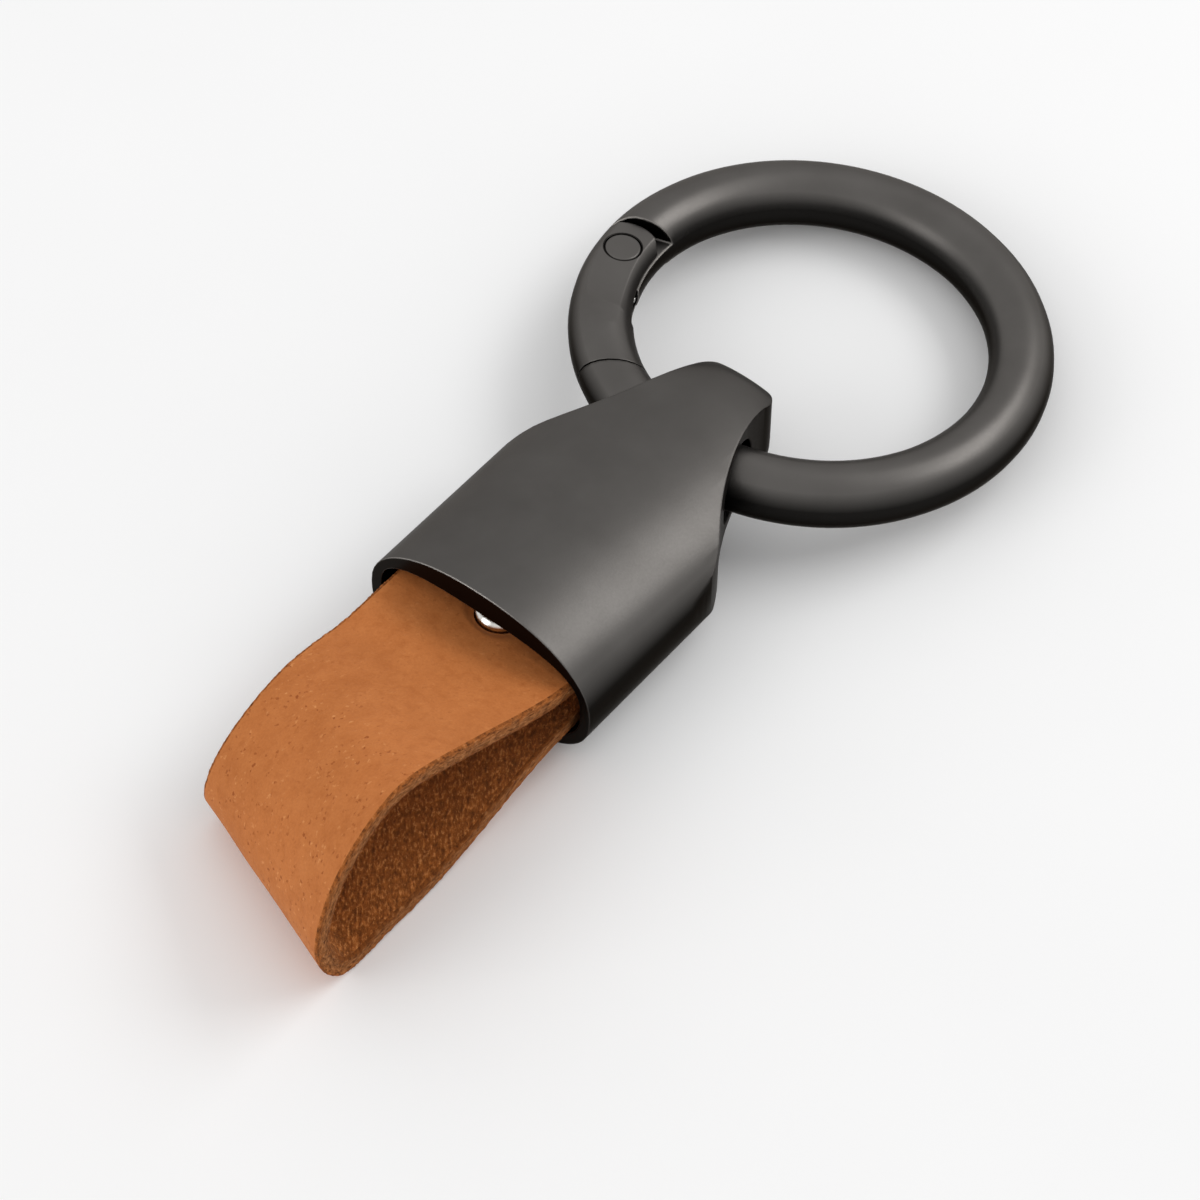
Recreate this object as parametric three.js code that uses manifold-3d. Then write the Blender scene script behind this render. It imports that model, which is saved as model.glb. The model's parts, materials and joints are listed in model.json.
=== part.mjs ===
// Leather keychain: a spring-gate ring through the eye of a metal cap that holds a folded leather strap.
// Millimetres, +Z up, lying on its flat back. The origin is the middle of the cap's flat back.
// +X points from the strap to the ring, +Y across the cap towards the ring's hinge.
import * as THREE from 'three';
import { mergeVertices } from 'three/addons/utils/BufferGeometryUtils.js';
import Module from 'manifold-3d';

const wasm = await Module();
wasm.setup();

// Cap: oval sleeve with a flat back, a wedge-shaped front and concave flanks that narrow to the eye.
const CAP_LENGTH = 31.5;
const CAP_HALF_WIDTH = 10.2;
const CAP_MID_HEIGHT = 5.9;
const CAP_FRONT_RISE = 6.7;
const CAP_TIP_RISE = 3.65;
const CAP_BACK_DROP = 6.3;
const CAP_FRONT_POWER = 2.16;
const CAP_BACK_POWER = 2.47;
const CAP_WALL = 0.9;
const CAP_FRONT_WALL = 2.3;
const POCKET_FRONT_POWER = 3;
const POCKET_DEPTH = 14;
const NECK_TIP_HALF_WIDTH = 3.35;
const NECK_TIP_CORNER = 2.2;
const NOSE_LENGTH = 7.3;
const NOSE_DROP = 2.4;
const NOSE_HALF_WIDTH = 4.2;
const HEEL_EDGE_RADIUS = 1;
const BACK_EDGE_RISE = 3.2;
const BACK_EDGE_TAPER = 0.33;
const SHOULDER_FROM_TIP = 16.5;
const SHOULDER_ROUND = 3.2;
const FLANK_PULL_FROM_TIP = 8.9;
const FLANK_PULL_HALF_WIDTH = 4.4;
const EYE_FROM_TIP = 7.4;
const EYE_RADIUS = 3.2;

// Ring and its gate, drawn flat in the ring's own plane with the eye at minus X.
const RING_RADIUS = 16;
const WIRE_RADIUS = 2.5;
const RING_SAG_IN_EYE = 0.36;
const HINGE_FROM_EYE = THREE.MathUtils.degToRad(77);
const GATE_REACH = 12.5;
const GATE_GAP = 0.15;
const KNUCKLE_RADIUS = 2.7;
const KNUCKLE_GAP = 0.3;
const STOP_FROM_PIN = 2.2;
const STOP_GAP = 0.12;
const STOP_START = 2;
const SHOULDER_RELIEF = 0.3;
const LIP_EASE_TURN = 0.1;
const CHEEK_HALF_HEIGHT = 1.95;
const CHEEK_FLAT_LENGTH = 2.6;
const CHEEK_RAMP_LENGTH = 5.8;
const SLOT_HALF_WIDTH = 1;
const SLOT_LENGTH = 6.2;
const SLOT_FLOOR_RADIUS = RING_RADIUS + 1.8;
const TONGUE_GAP = 0.2;
const TONGUE_EYE_RADIUS = 1.65;
const TONGUE_ROOT_HEIGHT = 1.5;
const HEEL_LENGTH = 2.6;
const HEEL_TOP = 0.3;
const TONGUE_ROOT_LENGTH = 5;

// Hinge pin with two riveted heads, and the bent wire spring that closes the gate.
const PIN_RADIUS = 0.85;
const PIN_HEAD_RADIUS = 1.4;
const PIN_HEAD_DEPTH = 0.4;
const PIN_HEAD_CHAMFER = 0.1;
const PIN_GAP = 0.05;
const PIN_RUNNING_GAP = 0.1;
const SPRING_WIRE_RADIUS = 0.2;
const SPRING_GAP = 0.08;
const SPRING_BEND_RADIUS = 0.65;
const SPRING_BEND_FROM_SLOT_END = 1.2;
const SPRING_KNEE = 0.6;
const SPRING_END_FROM_PIN = 2.55;

// Strap: one flat leather strip folded into a loop, both ends held in the cap.
// The loop's side view is given as [share of its length from the mouth, share of its crest height].
const STRAP_WIDTH = 16.4;
const STRAP_THICKNESS = 1.5;
const STRAP_INSERTION = 9.6;
const STRAP_UPPER_END_HEIGHT = 7.2;
const STRAP_UPPER_MOUTH_HEIGHT = 7.65;
const STRAP_LOWER_HEIGHT = 2.0;
const LOOP_LENGTH = 23.9;
const LOOP_CREST = 12.1;
const LOOP_RISE = [0.32, 0.82];
const LOOP_TOP = [0.67, 1];
const LOOP_SHOULDER = [0.92, 0.77];
const LOOP_NOSE = [1, 0.4];
const LOOP_TOE = [0.91, 0.1];
const LOOP_BELLY = [0.7, 0.07];
const LOOP_REST = [0.4, 0.08];
const LOOP_SHEAR = 3.4;
const LOOP_LIFT = 3.3;
const LOOP_TWIST_FROM_MOUTH = [-2.5, 10.5];
const LOWER_RUN_SHARES = [0.55, 0.75];
const STRAP_CUP = 1.5;
const STRAP_CUP_FADE = 12;

// Post through the strap's holes, and the screw that holds it from the back.
const POST_FROM_MOUTH = 2.3;
const POST_RADIUS = 1.8;
const POST_TOP_ABOVE_STRAP = 0.4;
const POST_CHAMFER = 0.3;
const STRAP_HOLE_RADIUS = 2.2;
const SEAT_GAP = 0.15;
const SCREW_RADIUS = 1.2;
const SCREW_HEAD_RADIUS = 2.1;
const SCREW_HEAD_CONE = 0.65;
const SCREW_HEAD_SINK = 0.1;
const SCREW_GAP = 0.1;
const SCREW_SLOT_WIDTH = 0.6;
const SCREW_SLOT_DEPTH = 0.4;
const SCREW_LENGTH = 6;

// How finely round forms are drawn.
const OVAL_STEPS = 28;
const CAP_STEPS = 10;
const RING_STEPS = 120;
const WIRE_STEPS = 24;
const ROUND_STEPS = 32;
const CURVE_STEPS = 14;
const NOSE_STEPS = 16;
const BACK_EDGE_STEPS = 5;
const STRAP_LENGTH_STEPS = 84;
const STRAP_WIDTH_STEPS = 8;
const SPRING_STEPS = 40;
const SPRING_ROUND_STEPS = 8;
const WELD = 1e-4;

// Cutting shapes run past what they cut by OVERCUT, or by FAR where nothing else is near.
const OVERCUT = 1;
const FAR = 30;

const capTipX = CAP_LENGTH / 2;
const mouthX = -CAP_LENGTH / 2;
const eye = new THREE.Vector3(capTipX - EYE_FROM_TIP, 0, CAP_MID_HEIGHT);
const swingRadius = RING_RADIUS - RING_SAG_IN_EYE;
const droop = Math.asin((CAP_MID_HEIGHT - WIRE_RADIUS) / (swingRadius + RING_RADIUS));
const postX = mouthX + POST_FROM_MOUTH;

function toSolid(geometry) {
  const plain = new THREE.BufferGeometry();
  plain.setAttribute('position', geometry.getAttribute('position'));
  plain.setIndex(geometry.getIndex());
  const merged = mergeVertices(plain, WELD);
  const mesh = new wasm.Mesh({
    numProp: 3,
    vertProperties: new Float32Array(merged.getAttribute('position').array),
    triVerts: new Uint32Array(merged.getIndex().array),
  });
  return new wasm.Manifold(mesh);
}

function toGeometry(solid) {
  const mesh = solid.getMesh();
  const geometry = new THREE.BufferGeometry();
  geometry.setAttribute('position', new THREE.BufferAttribute(new Float32Array(mesh.vertProperties), 3));
  geometry.setIndex(new THREE.BufferAttribute(new Uint32Array(mesh.triVerts), 1));
  geometry.computeVertexNormals();
  return geometry;
}

function eachPoint(geometry, change) {
  const position = geometry.getAttribute('position');
  const point = new THREE.Vector3();
  for (let i = 0; i < position.count; i += 1) {
    point.fromBufferAttribute(position, i);
    change(point);
    position.setXYZ(i, point.x, point.y, point.z);
  }
  return geometry;
}

function prism(shape, low, high, steps = 1) {
  const options = { depth: high - low, steps, bevelEnabled: false, curveSegments: CURVE_STEPS };
  return new THREE.ExtrudeGeometry(shape, options).translate(0, 0, low);
}

function turned(profile) {
  const points = profile.map(([radius, height]) => new THREE.Vector2(radius, height));
  return new THREE.LatheGeometry(points, ROUND_STEPS).rotateX(Math.PI / 2);
}

function round(radius, low, high, steps = ROUND_STEPS) {
  return new THREE.CylinderGeometry(radius, radius, high - low, steps)
    .rotateX(Math.PI / 2)
    .translate(0, 0, (low + high) / 2);
}

function smoothRise(value, start, end) {
  return THREE.MathUtils.smoothstep(value, start, end);
}

// Cap

// The front falls towards the tip, and over the nose it drops by a quarter of an oval.
function frontRise(fromTip) {
  const beforeNose = 1 - THREE.MathUtils.clamp(fromTip / NOSE_LENGTH, 0, 1);
  const drop = NOSE_DROP * (1 - Math.sqrt(1 - beforeNose ** 2));
  return THREE.MathUtils.lerp(CAP_TIP_RISE, CAP_FRONT_RISE, fromTip / CAP_LENGTH) - drop;
}

function ovalShape(inset, frontInset, frontPower) {
  const halfWidth = CAP_HALF_WIDTH - inset;
  const rise = CAP_FRONT_RISE - frontInset;
  const drop = CAP_BACK_DROP - inset;
  const flat = CAP_MID_HEIGHT - inset;
  const flatTurn = Math.asin(Math.pow(flat / drop, CAP_BACK_POWER / 2));
  const points = [];
  for (let i = 0; i <= OVAL_STEPS; i += 1) {
    const turn = (Math.PI * i) / OVAL_STEPS;
    const across = Math.sign(Math.cos(turn)) * Math.pow(Math.abs(Math.cos(turn)), 2 / frontPower);
    const up = Math.pow(Math.sin(turn), 2 / frontPower);
    points.push(new THREE.Vector2(halfWidth * across, CAP_MID_HEIGHT + rise * up));
  }
  const backSteps = OVAL_STEPS / 2;
  const side = [];
  for (let i = 1; i <= backSteps; i += 1) {
    const turn = (flatTurn * i) / backSteps;
    const across = halfWidth * Math.pow(Math.cos(turn), 2 / CAP_BACK_POWER);
    const down = drop * Math.pow(Math.sin(turn), 2 / CAP_BACK_POWER);
    side.push(new THREE.Vector2(across, CAP_MID_HEIGHT - down));
  }
  side.forEach((point) => points.push(new THREE.Vector2(-point.x, point.y)));
  side.reverse().forEach((point) => points.push(point));
  return new THREE.Shape(points);
}

// Where the cap's cross sections are, from the tip: close together over the nose.
function capStations() {
  const stations = [-OVERCUT];
  for (let i = 0; i < NOSE_STEPS; i += 1) {
    const turn = (Math.PI / 2) * (1 - i / NOSE_STEPS);
    stations.push(NOSE_LENGTH * (1 - Math.sin(turn)));
  }
  for (let i = 0; i <= CAP_STEPS; i += 1) {
    stations.push(THREE.MathUtils.lerp(NOSE_LENGTH, CAP_LENGTH, i / CAP_STEPS));
  }
  return stations;
}

// An oval drawn through the stations. Its front half is lower and narrower over the nose.
function ovalSleeve(shape, stations) {
  const steps = stations.length - 1;
  const geometry = new THREE.ExtrudeGeometry(shape, { depth: steps, steps, bevelEnabled: false });
  return eachPoint(geometry, (point) => {
    const fromTip = stations[Math.round(point.z)];
    const above = point.y - CAP_MID_HEIGHT;
    const slope = above > 0 ? frontRise(fromTip) / CAP_FRONT_RISE : 1;
    const widen = smoothRise(fromTip, 0, NOSE_LENGTH);
    const narrow = above > 0 ? THREE.MathUtils.lerp(NOSE_HALF_WIDTH / CAP_HALF_WIDTH, 1, widen) : 1;
    point.set(capTipX - fromTip, -point.x * narrow, CAP_MID_HEIGHT + above * slope);
  });
}

// One flank seen from the front, from the rounded shoulder along the hollow to the rounded corner of the tip.
function flankPoints() {
  const shoulder = new THREE.Vector2(capTipX - SHOULDER_FROM_TIP, CAP_HALF_WIDTH);
  const pull = new THREE.Vector2(capTipX - FLANK_PULL_FROM_TIP, FLANK_PULL_HALF_WIDTH);
  const cornerX = capTipX - NECK_TIP_CORNER;
  const roundShare = SHOULDER_ROUND / shoulder.distanceTo(pull);
  const hollowStart = new THREE.Vector2().lerpVectors(shoulder, pull, roundShare);
  const path = new THREE.Path();
  path.moveTo(shoulder.x - SHOULDER_ROUND, CAP_HALF_WIDTH);
  path.quadraticCurveTo(shoulder.x, shoulder.y, hollowStart.x, hollowStart.y);
  path.quadraticCurveTo(pull.x, pull.y, cornerX, NECK_TIP_HALF_WIDTH);
  path.quadraticCurveTo(capTipX, NECK_TIP_HALF_WIDTH, capTipX, NECK_TIP_HALF_WIDTH - NECK_TIP_CORNER);
  return path.getPoints(CURVE_STEPS);
}

function capPlan() {
  const wide = CAP_HALF_WIDTH + OVERCUT;
  const flank = flankPoints();
  const start = [new THREE.Vector2(mouthX - OVERCUT, wide), new THREE.Vector2(flank[0].x, wide)];
  const half = [...start, ...flank];
  const mirrored = half.map((point) => new THREE.Vector2(point.x, -point.y)).reverse();
  return new THREE.Shape([...half, ...mirrored]);
}

// The flanks' back edge is rounded under, so that the open gate clears it when the ring hangs down.
function capFlanks() {
  const top = CAP_MID_HEIGHT + CAP_FRONT_RISE + OVERCUT;
  const lower = prism(capPlan(), 0, BACK_EDGE_RISE, BACK_EDGE_STEPS);
  eachPoint(lower, (point) => {
    const under = (BACK_EDGE_RISE - point.z) / BACK_EDGE_RISE;
    point.y *= 1 - BACK_EDGE_TAPER * (1 - Math.sqrt(1 - under ** 2));
  });
  return toSolid(lower).add(toSolid(prism(capPlan(), BACK_EDGE_RISE, top)));
}

// The side view of the sleeve's cut, rounded at the heel of the tip.
function capSide() {
  const shape = new THREE.Shape();
  const high = CAP_MID_HEIGHT + CAP_FRONT_RISE + OVERCUT;
  const heelX = capTipX - HEEL_EDGE_RADIUS;
  shape.moveTo(mouthX - OVERCUT, -OVERCUT);
  shape.lineTo(heelX, -OVERCUT);
  shape.lineTo(heelX, 0);
  shape.absarc(heelX, HEEL_EDGE_RADIUS, HEEL_EDGE_RADIUS, -Math.PI / 2, 0, false);
  shape.lineTo(capTipX, high);
  shape.lineTo(mouthX - OVERCUT, high);
  return shape;
}

const headTop = SCREW_HEAD_SINK + SCREW_HEAD_CONE;

function buildCap() {
  const outer = toSolid(ovalSleeve(ovalShape(0, 0, CAP_FRONT_POWER), capStations()));
  const side = toSolid(prism(capSide(), -FAR, FAR).rotateX(Math.PI / 2));
  const pocketShape = ovalShape(CAP_WALL, CAP_FRONT_WALL, POCKET_FRONT_POWER);
  const pocket = toSolid(ovalSleeve(pocketShape, [CAP_LENGTH - POCKET_DEPTH, CAP_LENGTH + OVERCUT]));
  const eyeBore = new THREE.CylinderGeometry(EYE_RADIUS, EYE_RADIUS, FAR, ROUND_STEPS);
  eyeBore.translate(eye.x, eye.y, eye.z);
  const holeRadius = SCREW_RADIUS + SCREW_GAP;
  const sinkRadius = SCREW_HEAD_RADIUS + SCREW_GAP;
  const screwHole = turned([
    [0, -OVERCUT],
    [sinkRadius, -OVERCUT],
    [sinkRadius, SCREW_HEAD_SINK],
    [holeRadius, headTop],
    [holeRadius, CAP_WALL + OVERCUT],
    [0, CAP_WALL + OVERCUT],
  ]).translate(postX, 0, 0);
  const body = outer.intersect(capFlanks()).intersect(side).subtract(pocket);
  return toGeometry(body.subtract(toSolid(eyeBore)).subtract(toSolid(screwHole)));
}

// Strap, post and screw

function strapCurve() {
  const endX = mouthX + STRAP_INSERTION;
  const loop = [LOOP_RISE, LOOP_TOP, LOOP_SHOULDER, LOOP_NOSE, LOOP_TOE, LOOP_BELLY, LOOP_REST];
  const points = [
    [endX, STRAP_UPPER_END_HEIGHT],
    [mouthX, STRAP_UPPER_MOUTH_HEIGHT],
    ...loop.map(([out, up]) => [mouthX - out * LOOP_LENGTH, up * LOOP_CREST]),
    [mouthX, STRAP_LOWER_HEIGHT],
    [endX, STRAP_LOWER_HEIGHT],
  ];
  return new THREE.CatmullRomCurve3(points.map(([x, z]) => new THREE.Vector3(x, 0, z)));
}

function buildStrap() {
  const curve = strapCurve();
  const length = curve.getLength();
  const steps = [STRAP_LENGTH_STEPS, STRAP_WIDTH_STEPS, 1];
  const flat = new THREE.BoxGeometry(length, STRAP_WIDTH, STRAP_THICKNESS, ...steps);
  const halfWidth = STRAP_WIDTH / 2;
  const floor = STRAP_THICKNESS / 2;
  eachPoint(flat, (point) => {
    const share = THREE.MathUtils.clamp(point.x / length + 0.5, 0, 1);
    const centre = curve.getPointAt(share);
    const along = curve.getTangentAt(share);
    const side = point.y / halfWidth;
    const outside = smoothRise(mouthX - centre.x, ...LOOP_TWIST_FROM_MOUTH);
    const lower = smoothRise(share, ...LOWER_RUN_SHARES);
    const held = 1 - smoothRise(mouthX - centre.x, 0, STRAP_CUP_FADE);
    const height = (centre.z - floor) / (LOOP_CREST - floor);
    const shear = LOOP_SHEAR * outside * side;
    const lift = LOOP_LIFT * outside * side * height;
    const cup = STRAP_CUP * lower * held * side * side;
    point.set(
      centre.x - shear + along.z * point.z,
      -point.y,
      centre.z + lift + cup - along.x * point.z,
    );
  });
  const holes = round(STRAP_HOLE_RADIUS, 0, FAR).translate(postX, 0, 0);
  console.log('strap flat length', length.toFixed(2), 'width', STRAP_WIDTH, 'thickness', STRAP_THICKNESS);
  return toGeometry(toSolid(flat).subtract(toSolid(holes)));
}

const strapTopAtPost = STRAP_UPPER_MOUTH_HEIGHT + STRAP_THICKNESS / 2;
const postTop = strapTopAtPost + POST_TOP_ABOVE_STRAP;
const postFoot = CAP_WALL + SEAT_GAP;
const screwTip = postFoot + SCREW_LENGTH;

function buildPost() {
  const bore = SCREW_RADIUS + SCREW_GAP;
  const boreTop = screwTip + SEAT_GAP;
  return turned([
    [bore, postFoot],
    [POST_RADIUS, postFoot],
    [POST_RADIUS, postTop - POST_CHAMFER],
    [POST_RADIUS - POST_CHAMFER, postTop],
    [0, postTop],
    [0, boreTop],
    [bore, boreTop],
    [bore, postFoot],
  ]).translate(postX, 0, 0);
}

function buildScrew() {
  const screw = turned([
    [0, SCREW_HEAD_SINK],
    [SCREW_HEAD_RADIUS, SCREW_HEAD_SINK],
    [SCREW_RADIUS, headTop],
    [SCREW_RADIUS, screwTip],
    [0, screwTip],
  ]);
  const slot = new THREE.BoxGeometry(SCREW_SLOT_WIDTH, 4 * SCREW_HEAD_RADIUS, 2 * SCREW_SLOT_DEPTH);
  slot.translate(0, 0, SCREW_HEAD_SINK);
  return toGeometry(toSolid(screw).subtract(toSolid(slot))).translate(postX, 0, 0);
}

// Ring, gate, pin and spring. The pin frame has X along the ring away from the gate, Y outwards.

const hingeTurn = Math.PI - HINGE_FROM_EYE;
const pinFrame = new THREE.Matrix4().makeRotationZ(hingeTurn - Math.PI / 2);
pinFrame.setPosition(RING_RADIUS * Math.cos(hingeTurn), RING_RADIUS * Math.sin(hingeTurn), 0);
const ringFrame = new THREE.Matrix4().makeRotationY(droop);
const ringCentre = new THREE.Vector3(swingRadius, 0, 0).applyMatrix4(ringFrame).add(eye);
ringFrame.setPosition(ringCentre);

function atPin(geometry) {
  return toSolid(geometry.applyMatrix4(pinFrame));
}

function wholeRing() {
  return toSolid(new THREE.TorusGeometry(RING_RADIUS, WIRE_RADIUS, WIRE_STEPS, RING_STEPS));
}

function gateTerritory() {
  const shape = new THREE.Shape();
  const stopTurn = Math.acos(STOP_FROM_PIN / KNUCKLE_RADIUS);
  shape.moveTo(-FAR, -FAR);
  shape.lineTo(0, -FAR);
  shape.lineTo(0, -KNUCKLE_RADIUS);
  shape.absarc(0, 0, KNUCKLE_RADIUS, -Math.PI / 2, stopTurn, false);
  shape.lineTo(STOP_FROM_PIN, FAR);
  shape.lineTo(-FAR, FAR);
  return prism(shape, -FAR, FAR);
}

function bodyNotch() {
  const shape = new THREE.Shape();
  const radius = KNUCKLE_RADIUS + KNUCKLE_GAP;
  const lip = STOP_FROM_PIN + STOP_GAP;
  const lipTurn = Math.asin(STOP_START / radius) - LIP_EASE_TURN;
  shape.moveTo(-FAR, -FAR);
  shape.lineTo(radius + SHOULDER_RELIEF, -FAR);
  shape.lineTo(radius + SHOULDER_RELIEF, -WIRE_RADIUS);
  shape.lineTo(radius, 0);
  shape.absarc(0, 0, radius, 0, lipTurn, false);
  shape.lineTo(lip, STOP_START);
  shape.lineTo(lip, FAR);
  shape.lineTo(-FAR, FAR);
  return prism(shape, -FAR, FAR);
}

function tongueShape() {
  const shape = new THREE.Shape();
  const rootX = Math.sqrt(TONGUE_EYE_RADIUS ** 2 - TONGUE_ROOT_HEIGHT ** 2);
  const rootTurn = Math.atan2(TONGUE_ROOT_HEIGHT, rootX);
  const heelTurn = Math.PI - Math.asin(HEEL_TOP / TONGUE_EYE_RADIUS);
  shape.moveTo(TONGUE_ROOT_LENGTH, -WIRE_RADIUS - OVERCUT);
  shape.lineTo(TONGUE_ROOT_LENGTH, TONGUE_ROOT_HEIGHT);
  shape.lineTo(rootX, TONGUE_ROOT_HEIGHT);
  shape.absarc(0, 0, TONGUE_EYE_RADIUS, rootTurn, heelTurn, false);
  shape.lineTo(-HEEL_LENGTH + HEEL_TOP, HEEL_TOP);
  shape.quadraticCurveTo(-HEEL_LENGTH, HEEL_TOP, -HEEL_LENGTH, 0);
  shape.lineTo(-HEEL_LENGTH, -WIRE_RADIUS - OVERCUT);
  return shape;
}

function slotShape() {
  const shape = new THREE.Shape();
  const mouth = KNUCKLE_RADIUS + OVERCUT;
  const floorAt = (x) => Math.sqrt(SLOT_FLOOR_RADIUS ** 2 - x ** 2);
  const innerTurn = Math.atan2(floorAt(SLOT_LENGTH), -SLOT_LENGTH);
  const mouthTurn = Math.atan2(floorAt(mouth), mouth);
  shape.moveTo(-SLOT_LENGTH, -FAR);
  shape.lineTo(mouth, -FAR);
  shape.lineTo(mouth, floorAt(mouth) - RING_RADIUS);
  shape.absarc(0, -RING_RADIUS, SLOT_FLOOR_RADIUS, mouthTurn, innerTurn, false);
  return shape;
}

function cheekCut(sign) {
  const shape = new THREE.Shape();
  const end = -CHEEK_FLAT_LENGTH - CHEEK_RAMP_LENGTH;
  shape.moveTo(end, -WIRE_RADIUS - OVERCUT);
  shape.lineTo(WIRE_RADIUS * 2, -WIRE_RADIUS - OVERCUT);
  shape.lineTo(WIRE_RADIUS * 2, -CHEEK_HALF_HEIGHT);
  shape.lineTo(-CHEEK_FLAT_LENGTH, -CHEEK_HALF_HEIGHT);
  shape.quadraticCurveTo(-CHEEK_FLAT_LENGTH - CHEEK_RAMP_LENGTH / 2, -CHEEK_HALF_HEIGHT, end, -WIRE_RADIUS);
  const cut = prism(shape, -WIRE_RADIUS * 2, WIRE_RADIUS * 2).rotateX(Math.PI / 2);
  return sign > 0 ? cut.rotateX(Math.PI) : cut;
}

function buildRingBody() {
  const reach = atPin(round(GATE_REACH + GATE_GAP, -FAR, FAR, 3 * ROUND_STEPS));
  const gateSpace = reach.intersect(atPin(bodyNotch()));
  const tongueHalf = SLOT_HALF_WIDTH - TONGUE_GAP;
  const tongue = atPin(prism(tongueShape(), -tongueHalf, tongueHalf)).intersect(wholeRing());
  const bore = atPin(round(PIN_RADIUS + PIN_RUNNING_GAP, -FAR, FAR));
  return toGeometry(wholeRing().subtract(gateSpace).add(tongue).subtract(bore));
}

function buildGate() {
  const reach = atPin(round(GATE_REACH, -FAR, FAR, 3 * ROUND_STEPS));
  const slot = atPin(prism(slotShape(), -SLOT_HALF_WIDTH, SLOT_HALF_WIDTH));
  const bore = atPin(round(PIN_RADIUS + PIN_GAP, -FAR, FAR));
  const sinkRadius = PIN_HEAD_RADIUS + PIN_GAP;
  const sinkFloor = CHEEK_HALF_HEIGHT - PIN_HEAD_DEPTH - PIN_GAP;
  let gate = wholeRing().intersect(reach).intersect(atPin(gateTerritory()));
  gate = gate.subtract(slot).subtract(bore);
  gate = gate.subtract(atPin(cheekCut(1))).subtract(atPin(cheekCut(-1)));
  gate = gate.subtract(atPin(round(sinkRadius, sinkFloor, FAR)));
  return toGeometry(gate.subtract(atPin(round(sinkRadius, -FAR, -sinkFloor))));
}

function buildPin() {
  const top = CHEEK_HALF_HEIGHT;
  const neck = CHEEK_HALF_HEIGHT - PIN_HEAD_DEPTH;
  const rim = PIN_HEAD_RADIUS - PIN_HEAD_CHAMFER;
  return turned([
    [0, -top],
    [rim, -top],
    [PIN_HEAD_RADIUS, -top + PIN_HEAD_CHAMFER],
    [PIN_HEAD_RADIUS, -neck],
    [PIN_RADIUS, -neck],
    [PIN_RADIUS, neck],
    [PIN_HEAD_RADIUS, neck],
    [PIN_HEAD_RADIUS, top - PIN_HEAD_CHAMFER],
    [rim, top],
    [0, top],
  ]).applyMatrix4(pinFrame);
}

function buildSpring() {
  const clear = SPRING_WIRE_RADIUS + SPRING_GAP;
  const heelX = -HEEL_LENGTH - clear;
  const bendX = -SLOT_LENGTH + SPRING_BEND_FROM_SLOT_END;
  const floorY = (x) => Math.sqrt(SLOT_FLOOR_RADIUS ** 2 - x ** 2) - RING_RADIUS - clear;
  const points = [
    [heelX, -SPRING_END_FROM_PIN],
    [heelX, -SPRING_BEND_RADIUS - SPRING_KNEE],
    [heelX - SPRING_KNEE, -SPRING_BEND_RADIUS],
    [bendX, -SPRING_BEND_RADIUS],
    [bendX - SPRING_BEND_RADIUS, 0],
    [bendX, SPRING_BEND_RADIUS],
    [heelX, floorY(heelX)],
    [-TONGUE_EYE_RADIUS, floorY(TONGUE_EYE_RADIUS)],
  ];
  const path = new THREE.CatmullRomCurve3(points.map(([x, y]) => new THREE.Vector3(x, y, 0)));
  const section = new THREE.Shape();
  section.absarc(0, 0, SPRING_WIRE_RADIUS, 0, 2 * Math.PI, false);
  const steps = { steps: SPRING_STEPS, curveSegments: SPRING_ROUND_STEPS };
  const wire = new THREE.ExtrudeGeometry(section, { ...steps, bevelEnabled: false, extrudePath: path });
  return toGeometry(toSolid(wire)).applyMatrix4(pinFrame);
}

// Assembly

const group = new THREE.Group();
group.name = 'leather_keychain';

function addPart(name, geometry, color, roughness, metalness) {
  const material = new THREE.MeshStandardMaterial({ color, roughness, metalness });
  const mesh = new THREE.Mesh(geometry, material);
  mesh.name = name;
  group.add(mesh);
}

addPart('cap', buildCap(), 0x514e4d, 0.38, 0.85);
addPart('leather_strap', buildStrap(), 0xb87040, 0.75, 0);
addPart('strap_post', buildPost(), 0xd8d4c8, 0.2, 1);
addPart('fixing_screw', buildScrew(), 0xb4b2ae, 0.3, 1);
addPart('ring_body', buildRingBody().applyMatrix4(ringFrame), 0x4c4947, 0.36, 0.85);
addPart('gate', buildGate().applyMatrix4(ringFrame), 0x4f4c4a, 0.36, 0.85);
addPart('hinge_pin', buildPin().applyMatrix4(ringFrame), 0x55524f, 0.34, 0.85);
addPart('gate_spring', buildSpring().applyMatrix4(ringFrame), 0xc9c7c2, 0.25, 1);

const pinPoint = new THREE.Vector3().setFromMatrixPosition(pinFrame).applyMatrix4(ringFrame);
const ringNormal = new THREE.Vector3(Math.sin(droop), 0, Math.cos(droop));
console.log('eye axis point', eye.toArray().map((v) => v.toFixed(4)).join(' '));
console.log('hinge pin point', pinPoint.toArray().map((v) => v.toFixed(4)).join(' '));
console.log('ring normal', ringNormal.toArray().map((v) => v.toFixed(6)).join(' '));
console.log('ring centre', ringCentre.toArray().map((v) => v.toFixed(4)).join(' '));

export default group;
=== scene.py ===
import json
import math

import bmesh
import bpy
import numpy as np
from mathutils import Matrix, Vector, noise

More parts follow.
